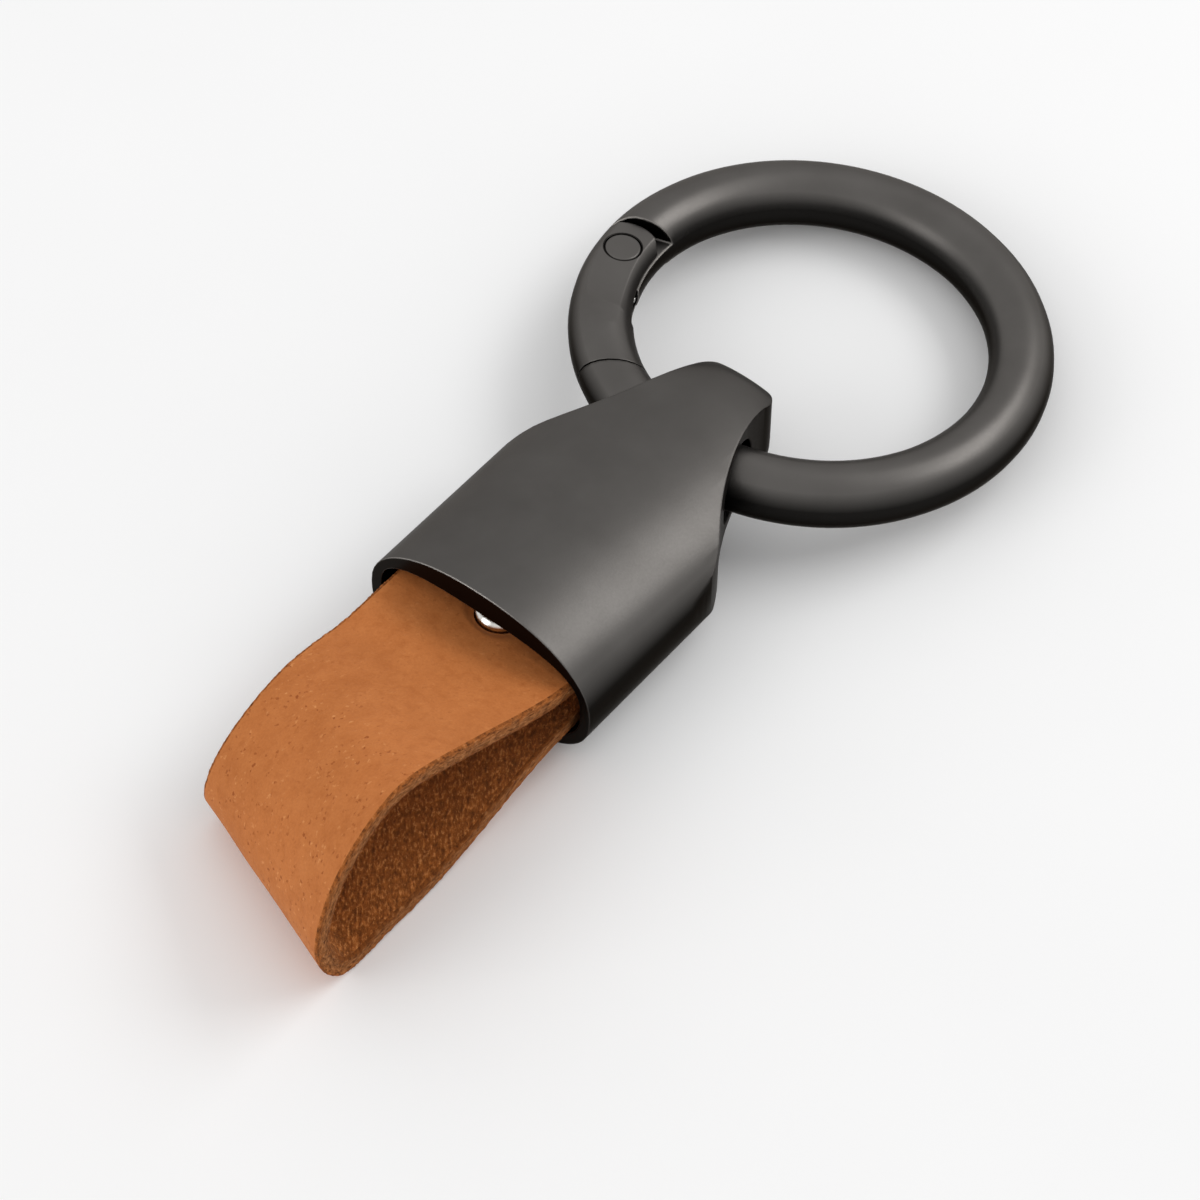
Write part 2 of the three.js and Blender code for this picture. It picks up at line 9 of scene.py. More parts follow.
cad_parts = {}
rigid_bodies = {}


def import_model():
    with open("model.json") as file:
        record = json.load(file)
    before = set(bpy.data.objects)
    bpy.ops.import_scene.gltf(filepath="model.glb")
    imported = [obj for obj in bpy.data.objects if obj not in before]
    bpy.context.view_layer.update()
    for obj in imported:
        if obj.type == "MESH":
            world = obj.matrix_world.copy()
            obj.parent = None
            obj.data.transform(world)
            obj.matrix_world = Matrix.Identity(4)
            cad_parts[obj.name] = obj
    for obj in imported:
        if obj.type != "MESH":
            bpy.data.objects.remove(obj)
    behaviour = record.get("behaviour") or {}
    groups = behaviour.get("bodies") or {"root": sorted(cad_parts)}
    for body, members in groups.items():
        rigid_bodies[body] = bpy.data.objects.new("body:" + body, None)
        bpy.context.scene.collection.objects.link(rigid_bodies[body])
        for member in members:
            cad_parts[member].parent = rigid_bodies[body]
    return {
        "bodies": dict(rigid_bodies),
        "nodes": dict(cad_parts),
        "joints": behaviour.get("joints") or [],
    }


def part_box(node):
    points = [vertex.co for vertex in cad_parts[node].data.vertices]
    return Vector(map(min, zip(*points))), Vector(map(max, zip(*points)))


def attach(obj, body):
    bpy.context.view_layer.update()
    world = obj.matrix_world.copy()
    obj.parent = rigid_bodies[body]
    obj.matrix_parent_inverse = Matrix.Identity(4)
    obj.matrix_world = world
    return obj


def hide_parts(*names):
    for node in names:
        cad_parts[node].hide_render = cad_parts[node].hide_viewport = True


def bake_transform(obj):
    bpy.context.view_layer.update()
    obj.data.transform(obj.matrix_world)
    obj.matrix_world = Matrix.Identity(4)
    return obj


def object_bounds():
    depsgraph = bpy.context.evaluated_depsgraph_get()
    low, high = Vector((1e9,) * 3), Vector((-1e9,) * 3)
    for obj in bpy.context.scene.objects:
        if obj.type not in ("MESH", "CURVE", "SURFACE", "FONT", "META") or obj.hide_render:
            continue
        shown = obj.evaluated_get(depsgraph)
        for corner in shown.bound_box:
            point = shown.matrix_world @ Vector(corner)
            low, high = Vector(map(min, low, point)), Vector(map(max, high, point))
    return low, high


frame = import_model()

# The frame is in metres. Lengths here are in millimetres and are multiplied by MM where they are used.
MM = 0.001

# Camera: the photograph's viewpoint, found from the outlines of the ring and the cap.
CAMERA_PLACE = Vector((-230.43, -175.08, 372.89)) * MM
CAMERA_RIGHT = Vector((0.62390, -0.78134, 0.01595))
CAMERA_FORWARD = Vector((0.48368, 0.37002, -0.79318))
FOCAL_LENGTH = 190.34
SENSOR_WIDTH = 36.0
CLIP_NEAR = 10.0
CLIP_FAR = 100000.0

# Stage: a floor just under the object, an even surround and two soft lamps that face the origin.
FLOOR_GAP = 0.02
FLOOR_HALF_WIDTH = 8000.0
FLOOR_COLOURS = ((0.945, 0.945, 0.945), (0.96, 0.96, 0.96))
FLOOR_CLOUD_SIZE = 40.0
SURROUND_STRENGTH = 0.75
LAMP_DISTANCE = 600.0
KEY_DIRECTION = (0.62, -0.35, 0.7)
KEY_SIZE = (460.0, 220.0)
KEY_POWER = 0.98
FILL_DIRECTION = (-0.77, 0.37, 0.46)
FILL_SIZE = (300.0, 300.0)
FILL_POWER = 0.55

# Strap: the flat strip and the side view of its loop, in the same shape as the solid it replaces.
# Loop points are (share of the loop's length from the mouth, share of the crest's height).
MOUTH_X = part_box("cap")[0].x / MM
STRAP_WIDTH = 16.4
STRAP_THICKNESS = 1.5
STRAP_TUCK = 9.6
STRAP_END_X = MOUTH_X + STRAP_TUCK
STRAP_UPPER_END_HEIGHT = 7.2
STRAP_UPPER_MOUTH_HEIGHT = 7.65
STRAP_LOWER_HEIGHT = 2.0
LOOP_LENGTH = 23.9
LOOP_CREST = 12.1
LOOP_RISE = (0.32, 0.82)
LOOP_TOP = (0.67, 1.0)
LOOP_SHOULDER = (0.92, 0.77)
LOOP_NOSE = (1.0, 0.4)
LOOP_TOE = (0.91, 0.1)
LOOP_BELLY = (0.7, 0.07)
LOOP_REST = (0.4, 0.08)
LOOP_SHEAR = 3.4
LOOP_LIFT = 3.3
LOOP_TWIST_FROM_MOUTH = (-2.5, 10.5)
LOWER_RUN_SHARES = (0.55, 0.75)
STRAP_CUP = 1.5
STRAP_CUP_FADE = 12.0

# Hole in the strap for the post, a little wider than the post, with the leather pressed down around it.
POST_BOX = [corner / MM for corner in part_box("strap_post")]
POST_CENTRE = (POST_BOX[0] + POST_BOX[1]) / 2
POST_GAP = 0.1
HOLE_RADIUS = (POST_BOX[1].y - POST_BOX[0].y) / 2 + POST_GAP
HOLE_PRESS = 0.3
HOLE_PRESS_WIDTH = 0.8
HOLE_CUT_LENGTH = 30.0

# Leather surface: soft unevenness of the strip, the nap of its flesh side and its fibrous cut edges.
STRAP_SWELL = 0.05
STRAP_SWELL_SIZE = 4.0
NAP_DEPTH = 0.05
NAP_SIZE = 0.55
EDGE_ROUND = 0.25
EDGE_RAGGED = 0.12
EDGE_FIBRE_SIZE = 0.45

# Grain side: its clouds, pebbles and fine nap, with a scatter of pores and flecks. These show fully
# where the strip bends to BEND_RADIUS_FULL or tighter, and by SPECKS_WHERE_FLAT where it is flat.
GRAIN_BROAD_SIZE = 7.0
GRAIN_CLOUD_SIZE = 1.8
GRAIN_PEBBLE_SIZE = 0.9
GRAIN_PEBBLE_DEPTH = 0.08
GRAIN_NAP_SIZE = 0.2
GRAIN_NAP_DEPTH = 0.02
BEND_RADIUS_FULL = 8.0
SPECKS_WHERE_FLAT = 0.25
SPECK_RADIUS = 0.16
SPECK_SHARE = 0.8
SPECK_HEIGHT_SHARE = 0.2
PORE_SPACING = 0.6
PORE_STRENGTH = 0.75
FLECK_SPACING = 0.66
FLECK_STRENGTH = 0.6
GRAIN_COLOURS = ((0.48, 0.15, 0.035), (0.54, 0.173, 0.043))
GRAIN_CLOUD_COLOUR = (0.6, 0.21, 0.058)
GRAIN_PEBBLE_COLOUR = (0.4, 0.11, 0.02)
GRAIN_NAP_DARK = (0.3, 0.085, 0.017)
GRAIN_NAP_PALE = (0.74, 0.31, 0.1)
PORE_COLOUR = (0.26, 0.048, 0.002)
FLECK_COLOUR = (0.76, 0.32, 0.11)
GRAIN_SHEEN_TINT = (1.0, 0.75, 0.5)

# Suede side: a nap brushed slantwise across the strip.
SUEDE_NAP_DEGREES = 39.0
SUEDE_NAP_STRETCH = 2.0
SUEDE_TUFT_SIZE = 0.4
SUEDE_FIBRE_SIZE = 0.2
SUEDE_FIBRE_HEIGHT_SHARE = 0.6
SUEDE_DEPTH = 0.14
SUEDE_COLOURS = ((0.18, 0.053, 0.01), (0.32, 0.096, 0.018), (0.5, 0.165, 0.036))
SUEDE_FIBRE_PALE = (0.78, 0.335, 0.11)
SUEDE_FIBRE_DARK = (0.08, 0.022, 0.004)
SUEDE_SHEEN_TINT = (1.0, 0.7, 0.45)

# Cut edge: fibres drawn out along the strip, in colours from the flesh side to the grain side.
CUT_FIBRE_SIZE = 0.24
CUT_FIBRE_STRETCH = 2.2
CUT_FIBRE_DEPTH = 0.2
CUT_WANDER_SIZE = 0.7
CUT_WANDER_SHARE = 1.1
CUT_COLOURS = ((0.28, 0.085, 0.018), (0.42, 0.168, 0.056), (0.44, 0.158, 0.045), (0.46, 0.143, 0.033))
CUT_FIBRE_DARK = (0.1, 0.029, 0.007)
CUT_FIBRE_PALE = (0.62, 0.33, 0.15)

# Dark plating: how light it is on each piece, how far its edges are rounded, and what its pieces share.
CAP_LIGHTNESS = 0.112
RING_LIGHTNESS = 0.128
GATE_LIGHTNESS = 0.133
CAP_EDGE = 0.2
RING_EDGE = 0.3
GATE_EDGE = 0.15
PLATING_CLOUD_SIZE = 5.0
PLATING_GRAIN_SIZE = 0.16
PLATING_GRAIN_DEPTH = 0.004
PLATING_TINTS = ((0.94, 0.885, 0.835), (1.08, 1.02, 0.965))
# Painted shade: a near-black put on faces turned sideways, standing in for a dark reflection.
PLATING_SHADE_COLOUR = (0.007, 0.0065, 0.006)
# Bright edge colour: plating worn through, and on the mouth's rim also a painted highlight.
PLATING_WORN_AND_HIGHLIGHT_COLOUR = (0.5, 0.47, 0.44)
PLATING_GLANCE_TINT = (0.48, 0.47, 0.46)

# Where the plating is rubbed through: a little to one side of the middle of the mouth's rim, where the
# bright edge is also a painted highlight, and round the hinge. Distances are (wholly rubbed, no longer
# rubbed).
RUBBED_AND_LIT_RIM_Y = 3.5
RUBBED_AND_LIT_RIM_REACH = (4.0, 9.0)
RUBBED_HINGE_REACH = (3.0, 6.0)
CAP_WEAR = 0.12
GATE_WEAR = 0.2
GATE_WEAR_SIZE = 3.0

# Painted shadow in the gap round the pin's head: its middle, outside the head, and how far it is dark and
# then fades.
PIN_SHADE_OFFSET = 0.05
PIN_SHADE_DARK = 0.06
PIN_SHADE_FADE = 0.12

# Bright metals.
POST_COLOUR = (0.95, 0.93, 0.88)
SCREW_COLOUR = (0.7, 0.68, 0.64)
WIRE_COLOUR = (0.62, 0.61, 0.58)
DRAWN_MARK_SHADE = 0.82
DRAWN_MARK_DEPTH = 0.003

# Gate spring, drawn flat in the hinge's own frame: X along the ring away from the gate, Y outwards.
SPRING_WIRE_RADIUS = 0.2
SPRING_LEG_X = -2.88
SPRING_LEG_END = -2.55
SPRING_KNEE = 0.6
SPRING_BEND_X = -5.0
SPRING_BEND_RADIUS = 0.65
SPRING_SLOT_HEIGHT = 1.29
SPRING_TIP = (-1.65, 1.44)

# How finely the new pieces are drawn.
STRAP_LENGTH_STEPS = 460
GRAIN_STEPS = 48
SUEDE_STEPS = 64
EDGE_STEPS = 8
ROUND_STEPS = 4
HOLE_STEPS = 64
SPRING_LENGTH_STEPS = 90
SPRING_ROUND_STEPS = 14
CURVE_STEPS = 80
BEVEL_SAMPLES = 6

# Shading of the loaded pieces: points closer than this are one, and sharper edges than this stay sharp.
WELD_DISTANCE = 0.002
CREASE_DEGREES = 32.0


def remove_startup_objects():
    """Leaves only the loaded frame in the scene."""
    kept = list(frame["bodies"].values()) + list(frame["nodes"].values())
    for found in list(bpy.data.objects):
        if found not in kept:
            bpy.data.objects.remove(found)


def add_mesh(name, points, faces, smooth=True):
    """A new mesh object from points in metres."""
    mesh = bpy.data.meshes.new(name)
    mesh.from_pydata([tuple(p) for p in points], [], faces)
    mesh.polygons.foreach_set("use_smooth", [smooth] * len(mesh.polygons))
    mesh.update()
    made = bpy.data.objects.new(name, mesh)
    bpy.context.scene.collection.objects.link(made)
    return made


def smooth_rise(value, start, end):
    """Nought before start, one after end, and a smooth rise between them."""
    share = min(max((value - start) / (end - start), 0.0), 1.0)
    return share * share * (3 - 2 * share)


def smooth_curve(points, steps):
    """A centripetal Catmull-Rom curve through points, as evenly spaced points along its length."""
    given = [np.array(p, float) for p in points]
    ends = [2 * given[0] - given[1]] + given + [2 * given[-1] - given[-2]]
    fine = []
    for before, start, end, after in zip(ends, ends[1:], ends[2:], ends[3:]):
        first, gap, last = (math.sqrt(np.linalg.norm(b - a))
                            for a, b in ((before, start), (start, end), (end, after)))
        leave = (start - before) / first - (end - before) / (first + gap) + (end - start) / gap
        arrive = (end - start) / gap - (after - start) / (gap + last) + (after - end) / last
        for t in np.linspace(0, 1, CURVE_STEPS, endpoint=False):
            from_start = 2 * t**3 - 3 * t**2 + 1
            from_leave = (t**3 - 2 * t**2 + t) * gap
            from_arrive = (t**3 - t**2) * gap
            fine.append(from_start * start + from_leave * leave
                        + (1 - from_start) * end + from_arrive * arrive)
    fine.append(given[-1])
    fine = np.array(fine)
    lengths = np.concatenate([[0], np.cumsum(np.linalg.norm(np.diff(fine, axis=0), axis=1))])
    even = np.linspace(0, lengths[-1], steps + 1)
    return np.stack([np.interp(even, lengths, fine[:, k]) for k in range(fine.shape[1])], axis=1)


def tangents_of(line):
    """Unit tangents along a line of points."""
    tangents = np.gradient(line, axis=0)
    return tangents / np.linalg.norm(tangents, axis=1)[:, None]


def tube_faces(rings, sides):
    """Quads between closed rings of points, and one face over each end."""
    faces = []
    for i in range(rings - 1):
        for k in range(sides):
            after = (k + 1) % sides
            faces.append((i * sides + k, i * sides + after, (i + 1) * sides + after, (i + 1) * sides + k))
    faces.append(tuple(reversed(range(sides))))
    faces.append(tuple(range((rings - 1) * sides, rings * sides)))
    return faces


def face_outwards(piece):
    """Turns a closed mesh's faces outwards."""
    made = bmesh.new()
    made.from_mesh(piece.data)
    bmesh.ops.recalc_face_normals(made, faces=made.faces)
    made.to_mesh(piece.data)
    made.free()


# Materials

# Where a mix node keeps its two colours and its mixed colour among its sockets.
MIX_FIRST = 6
MIX_SECOND = 7
MIX_RESULT = 2


class Look:
    """A new material's node tree with short calls for what the looks below share."""

    def __init__(self, name):
        self.material = bpy.data.materials.new(name)
        self.material.use_nodes = True
        self.tree = self.material.node_tree
        self.shader = self.tree.nodes["Principled BSDF"]
        self.coordinates = self.add("ShaderNodeTexCoord")
        self.place = self.coordinates.outputs["Object"]

    def add(self, kind, **settings):
        """A new node with the given settings."""
        node = self.tree.nodes.new(kind)
        for key, value in settings.items():
            setattr(node, key, value)
        return node

    def link(self, output, socket):
        """Joins a node's output to an input."""
        self.tree.links.new(output, socket)

    def drive(self, socket_name, output):
        """Drives one of the shader's inputs by a node's output."""
        self.link(output, self.shader.inputs[socket_name])

    def fix(self, socket_name, value):
        """Sets one of the shader's inputs to a constant."""
        self.shader.inputs[socket_name].default_value = value

    def noise(self, size_mm, detail=3.0, roughness=0.55, place=None):
        """Noise whose features are about size_mm across, in the given coordinates or the object's own."""
        node = self.add("ShaderNodeTexNoise")
        node.inputs["Scale"].default_value = 1 / (size_mm * MM)
        node.inputs["Detail"].default_value = detail
        node.inputs["Roughness"].default_value = roughness
        self.link(place or self.place, node.inputs["Vector"])
        return node.outputs["Fac"]

    def brushed(self, degrees, stretch):
        """The object's own coordinates, drawn out along a level direction that many degrees from X."""
        node = self.add("ShaderNodeMapping", vector_type="TEXTURE")
        node.inputs["Rotation"].default_value = (0, 0, math.radians(degrees))
        node.inputs["Scale"].default_value = (stretch, 1, 1)
        self.link(self.place, node.inputs["Vector"])
        return node.outputs["Vector"]

    def drawn_out_strip(self, stretch):
        """Coordinates in the strip's cut edge, drawn out along the strip."""
        along = self.math("DIVIDE", self.attribute("run"), stretch)
        depth = self.math("MULTIPLY", self.attribute("layer"), STRAP_THICKNESS * MM)
        joined = self.add("ShaderNodeCombineXYZ")
        self.link(along, joined.inputs["X"])
        self.link(depth, joined.inputs["Y"])
        return joined.outputs["Vector"]

    def specks(self, spacing_mm, radius_mm, share):
        """Ragged specks of about radius_mm in a share of the cells of a loose scatter."""
        ragged_size = 2 * radius_mm * MM
        ragged_reach = 4 * radius_mm * MM
        wander = self.add("ShaderNodeTexNoise")
        wander.inputs["Scale"].default_value = 1 / ragged_size
        self.link(self.place, wander.inputs["Vector"])
        moved = self.add("ShaderNodeVectorMath", operation="MULTIPLY_ADD")
        self.link(wander.outputs["Color"], moved.inputs[0])
        moved.inputs[1].default_value = 3 * [ragged_reach]
        self.link(self.place, moved.inputs[2])
        node = self.add("ShaderNodeTexVoronoi")
        node.inputs["Scale"].default_value = 1 / (spacing_mm * MM)
        self.link(moved.outputs["Vector"], node.inputs["Vector"])
        reach = radius_mm / spacing_mm
        near = self.spread(node.outputs["Distance"], 1.0, 0.0, 0.5 * reach, reach)
        chance = self.add("ShaderNodeSeparateColor")
        self.link(node.outputs["Color"], chance.inputs["Color"])
        return self.math("MULTIPLY", near, self.math("LESS_THAN", chance.outputs["Red"], share))

    def ramp(self, value, positions, colours):
        """A colour ramp with one colour at each position."""
        node = self.add("ShaderNodeValToRGB")
        elements = node.color_ramp.elements
        while len(elements) < len(positions):
            elements.new(0.5)
        for element, position, colour in zip(elements, positions, colours):
            element.position = position
            element.color = (*colour, 1)
        self.link(value, node.inputs["Fac"])
        return node.outputs["Color"]

    def spread(self, value, low, high, start=0.0, end=1.0):
        """Maps value from start..end to low..high."""
        node = self.add("ShaderNodeMapRange")
        for key, number in (("From Min", start), ("From Max", end), ("To Min", low), ("To Max", high)):
            node.inputs[key].default_value = number
        self.link(value, node.inputs["Value"])
        return node.outputs["Result"]

    def math(self, operation, first, second=0.0):
        """A math node; an input is a socket or a number."""
        node = self.add("ShaderNodeMath", operation=operation)
        for socket, given in zip(node.inputs, (first, second)):
            if isinstance(given, (int, float)):
                socket.default_value = given
            else:
                self.link(given, socket)
        return node.outputs["Value"]

    def mix(self, share, first, second):
        """A colour mix of a socket with three numbers."""
        node = self.add("ShaderNodeMix", data_type="RGBA")
        self.link(share, node.inputs["Factor"])
        self.link(first, node.inputs[MIX_FIRST])
        node.inputs[MIX_SECOND].default_value = (*second, 1)
        return node.outputs[MIX_RESULT]

    def bump(self, height, depth_mm, normal=None):
        """A bump of the given depth, on top of another normal."""
        node = self.add("ShaderNodeBump")
        node.inputs["Strength"].default_value = 1.0
        node.inputs["Distance"].default_value = depth_mm * MM
        self.link(height, node.inputs["Height"])
        if normal is not None:
            self.link(normal, node.inputs["Normal"])
        return node.outputs["Normal"]

    def facing(self, axis):
        """One where the surface faces along one of the object's axes, either way; nought square to it."""
        split = self.add("ShaderNodeSeparateXYZ")
        self.link(self.coordinates.outputs["Normal"], split.inputs["Vector"])
        return self.math("MULTIPLY", split.outputs[axis], split.outputs[axis])

    def attribute(self, name):
        """A value kept on the mesh's points."""
        return self.add("ShaderNodeAttribute", attribute_name=name).outputs["Fac"]

    def nearness(self, point, full_mm, none_mm):
        """One within full_mm of a point, falling to nought at none_mm."""
        node = self.add("ShaderNodeVectorMath", operation="DISTANCE")
        self.link(self.place, node.inputs[0])
        node.inputs[1].default_value = point
        return self.spread(node.outputs["Value"], 1.0, 0.0, full_mm * MM, none_mm * MM)

    def distance_from_axle(self, place):
        """How far a point lies from the Z axis of a frame given as a matrix, in metres."""
        offset = self.add("ShaderNodeVectorMath", operation="SUBTRACT")
        self.link(self.place, offset.inputs[0])
        offset.inputs[1].default_value = place.translation
        across = self.add("ShaderNodeVectorMath", operation="CROSS_PRODUCT")
        self.link(offset.outputs["Vector"], across.inputs[0])
        across.inputs[1].default_value = place.col[2].xyz
        length = self.add("ShaderNodeVectorMath", operation="LENGTH")
        self.link(across.outputs["Vector"], length.inputs[0])
        return length.outputs["Value"]

    def rounded_edges(self, radius_mm):
        """The normal with edges rounded to radius_mm, and how much it turns there."""
        node = self.add("ShaderNodeBevel", samples=BEVEL_SAMPLES)
        node.inputs["Radius"].default_value = radius_mm * MM
        geometry = self.add("ShaderNodeNewGeometry")
        dot = self.add("ShaderNodeVectorMath", operation="DOT_PRODUCT")
        self.link(node.outputs["Normal"], dot.inputs[0])
        self.link(geometry.outputs["Normal"], dot.inputs[1])
        turned = self.math("SUBTRACT", 1.0, dot.outputs["Value"])
        return node.outputs["Normal"], turned


def plated(look, lightness, side, wear_and_highlight, edge_mm):
    """Satin dark plating: painted shade where side is one, and a bright edge from the third argument,
    which is plating worn through and, on the cap's rim, also a painted highlight.
    """
    normal, turned = look.rounded_edges(edge_mm)
    cloud = look.noise(PLATING_CLOUD_SIZE)
    grain = look.noise(PLATING_GRAIN_SIZE, detail=4.0)
    colours = [tuple(lightness * c for c in tint) for tint in PLATING_TINTS]
    tone = look.ramp(cloud, (0.3, 0.7), colours)
    # Painted shade where side is one.
    tone = look.mix(side, tone, PLATING_SHADE_COLOUR)
    # Bright edges: worn plating, and a painted highlight where the cap's rim is lit.
    worn_and_lit_edge = look.math("MULTIPLY", wear_and_highlight, look.spread(turned, 0.0, 0.9, 0.06, 0.22))
    look.drive("Base Color", look.mix(worn_and_lit_edge, tone, PLATING_WORN_AND_HIGHLIGHT_COLOUR))
    look.drive("Roughness", look.spread(grain, 0.32, 0.44))
    look.drive("Normal", look.bump(grain, PLATING_GRAIN_DEPTH, normal))
    look.fix("Metallic", 1.0)
    look.fix("Specular Tint", (*PLATING_GLANCE_TINT, 1))
    return look.material


def cap_gunmetal():
    """The cap's plating: painted shade on its narrow sides and ends, worn through along the front of the
    mouth's rim with a painted highlight there.
    """
    look = Look("gunmetal")
    # Painted shade on the cap's narrow sides and ends.
    side = look.spread(look.facing("Y"), 0.0, 0.95, 0.58, 0.95)
    end = look.spread(look.facing("X"), 0.0, 0.85, 0.3, 0.9)
    low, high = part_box("cap")
    # Along the mouth's rim the bright edge is worn plating and a painted highlight.
    rim = Vector((low.x, RUBBED_AND_LIT_RIM_Y * MM, high.z))
    wear_and_highlight = look.math("MAXIMUM", CAP_WEAR, look.nearness(rim, *RUBBED_AND_LIT_RIM_REACH))
    return plated(look, CAP_LIGHTNESS, look.math("MAXIMUM", side, end), wear_and_highlight, CAP_EDGE)


def wire_painted_shade(look):
    """Painted shade on the ring's wire, darker as the wire faces inwards or outwards."""
    return look.spread(look.facing("Z"), 0.95, 0.0, 0.08, 0.6)


def ring_gunmetal(hinge):
    """The fixed ring's plating: painted shade inside and outside the circle, rubbed on the edges near the
    hinge.
    """
    look = Look("ring_gunmetal")
    wear_and_highlight = look.nearness(hinge, *RUBBED_HINGE_REACH)
    return plated(look, RING_LIGHTNESS, wire_painted_shade(look), wear_and_highlight, RING_EDGE)


def gate_gunmetal(hinge_place):
    """The gate's and the pin's plating: as the ring's, with its painted shade, little worn, and a painted
    shadow in the gap round the pin's head.
    """
    look = Look("gate_gunmetal")
    low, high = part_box("hinge_pin")
    # Painted shadow: a dark ring in the gap round the pin's head.
    pin_shade_radius = (high.y - low.y) / 2 + PIN_SHADE_OFFSET * MM
    from_pin_shade = look.math("SUBTRACT", look.distance_from_axle(hinge_place), pin_shade_radius)
    pin_shade = look.spread(look.math("ABSOLUTE", from_pin_shade), 1.0, 0.0, PIN_SHADE_DARK * MM, PIN_SHADE_FADE * MM)
    wear_and_highlight = look.spread(look.noise(GATE_WEAR_SIZE), 0.0, GATE_WEAR)
    # Painted shade: the wire's sides and the gap round the pin's head.
    painted_shade = look.math("MAXIMUM", wire_painted_shade(look), pin_shade)
    return plated(look, GATE_LIGHTNESS, painted_shade, wear_and_highlight, GATE_EDGE)


def bright_metal(name, colour, roughness, mark_mm, edge_mm):
    """Bright plated or bare steel with fine drawn marks and edges rounded to edge_mm."""
    look = Look(name)
    normal, _ = look.rounded_edges(edge_mm)
    marks = look.noise(mark_mm, detail=4.0)
    darker = tuple(DRAWN_MARK_SHADE * c for c in colour)
    look.drive("Base Color", look.ramp(marks, (0.35, 0.65), (darker, colour)))
    look.drive("Roughness", look.spread(marks, 0.7 * roughness, 1.4 * roughness))
    look.drive("Normal", look.bump(marks, DRAWN_MARK_DEPTH, normal))
    look.fix("Metallic", 1.0)
    return look.material


def leather_grain():
    """Tan smooth side: matte and clouded, with dark pores and pale flecks, most where the strip bends."""
    look = Look("leather_grain")
    broad = look.noise(GRAIN_BROAD_SIZE, detail=2.0)
    cloud = look.noise(GRAIN_CLOUD_SIZE, detail=3.0)
    nap = look.noise(GRAIN_NAP_SIZE, detail=5.0, roughness=0.7)
    pebble = look.noise(GRAIN_PEBBLE_SIZE, detail=3.0)
    opened = look.math("MAXIMUM", SPECKS_WHERE_FLAT, look.attribute("bend"))
    crowded = look.math("MULTIPLY", opened, look.spread(cloud, 0.3, 1.0, 0.4, 0.55))
    pores = look.math("MULTIPLY", crowded, look.specks(PORE_SPACING, SPECK_RADIUS, SPECK_SHARE))
    flecks = look.math("MULTIPLY", crowded, look.specks(FLECK_SPACING, SPECK_RADIUS, SPECK_SHARE))
    tone = look.ramp(broad, (0.3, 0.7), GRAIN_COLOURS)
    tone = look.mix(look.spread(cloud, 0.0, 0.4, 0.42, 0.75), tone, GRAIN_CLOUD_COLOUR)
    tone = look.mix(look.spread(pebble, 0.35, 0.0, 0.3, 0.5), tone, GRAIN_PEBBLE_COLOUR)
    tone = look.mix(look.spread(nap, 0.22, 0.0, 0.28, 0.52), tone, GRAIN_NAP_DARK)
    tone = look.mix(look.spread(nap, 0.0, 0.18, 0.52, 0.75), tone, GRAIN_NAP_PALE)
    tone = look.mix(look.math("MULTIPLY", pores, PORE_STRENGTH), tone, PORE_COLOUR)
    tone = look.mix(look.math("MULTIPLY", flecks, FLECK_STRENGTH), tone, FLECK_COLOUR)
    look.drive("Base Color", tone)
    look.drive("Roughness", look.spread(nap, 0.7, 0.92))
    raised = look.math("MULTIPLY", look.math("SUBTRACT", flecks, pores), SPECK_HEIGHT_SHARE)
    pebbled = look.bump(look.math("ADD", pebble, raised), GRAIN_PEBBLE_DEPTH)
    look.drive("Normal", look.bump(nap, GRAIN_NAP_DEPTH, pebbled))
    look.fix("Specular IOR Level", 0.2)
    look.fix("Sheen Weight", 0.05)
    look.fix("Sheen Roughness", 0.5)
    look.fix("Sheen Tint", (*GRAIN_SHEEN_TINT, 1))
    return look.material


def leather_suede():
    """Brown flesh side: a short rough nap with pale fibre ends."""
    look = Look("leather_suede")
    nap = look.brushed(SUEDE_NAP_DEGREES, SUEDE_NAP_STRETCH)
    tufts = look.noise(SUEDE_TUFT_SIZE, detail=5.0, roughness=0.65, place=nap)
    fibres = look.noise(SUEDE_FIBRE_SIZE, detail=4.0, roughness=0.65, place=nap)
    tone = look.ramp(tufts, (0.34, 0.52, 0.68), SUEDE_COLOURS)
    tone = look.mix(look.spread(fibres, 0.0, 0.65, 0.54, 0.68), tone, SUEDE_FIBRE_PALE)
    tone = look.mix(look.spread(fibres, 0.4, 0.0, 0.32, 0.48), tone, SUEDE_FIBRE_DARK)
    look.drive("Base Color", tone)
    height = look.math("ADD", look.math("MULTIPLY", fibres, SUEDE_FIBRE_HEIGHT_SHARE), tufts)
    look.drive("Normal", look.bump(height, SUEDE_DEPTH))
    look.fix("Roughness", 0.95)
    look.fix("Specular IOR Level", 0.1)
    look.fix("Sheen Weight", 0.1)
    look.fix("Sheen Roughness", 0.6)
    look.fix("Sheen Tint", (*SUEDE_SHEEN_TINT, 1))
    return look.material


